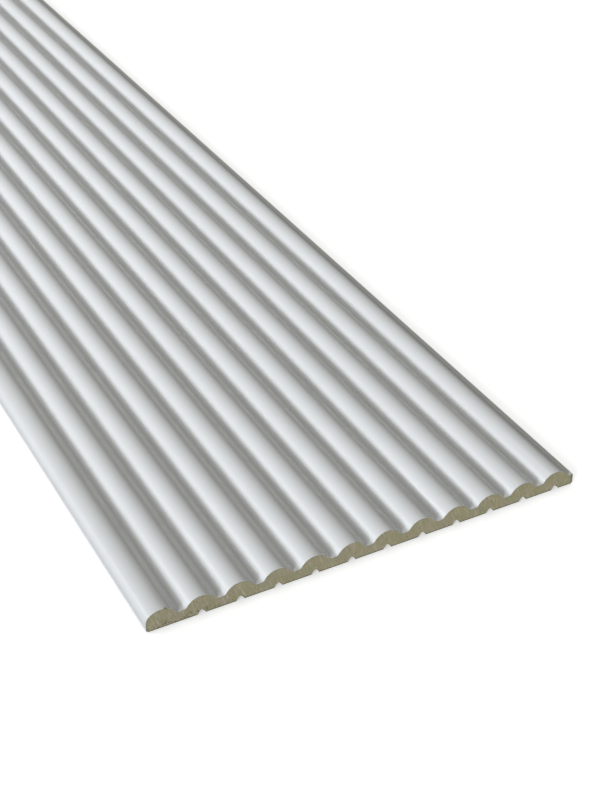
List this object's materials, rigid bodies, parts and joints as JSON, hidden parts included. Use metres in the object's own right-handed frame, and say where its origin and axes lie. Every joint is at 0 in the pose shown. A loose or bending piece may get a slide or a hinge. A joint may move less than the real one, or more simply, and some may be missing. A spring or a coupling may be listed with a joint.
{
  "type": "fluted wall panel",
  "caption": "Long reeded wall panel with half-round reeds on its face, a rolled finished edge, a trimmed edge and relief grooves in its back.",
  "frame": {"origin": "middle of the panel's back, halfway along its length and halfway across it", "axes": "+Y along the length, +X across the reeds towards the trimmed edge, +Z out of the fluted face"},
  "size_m": [0.251, 2.4, 0.0115],
  "materials": {
    "coated_mdf": "satin white coating on the face and the finished long edge, raw board on the ends, the trimmed edge and the back"
  },
  "bodies": {
    "root": {"fluted_panel": "coated_mdf"}
  },
  "joints": []
}
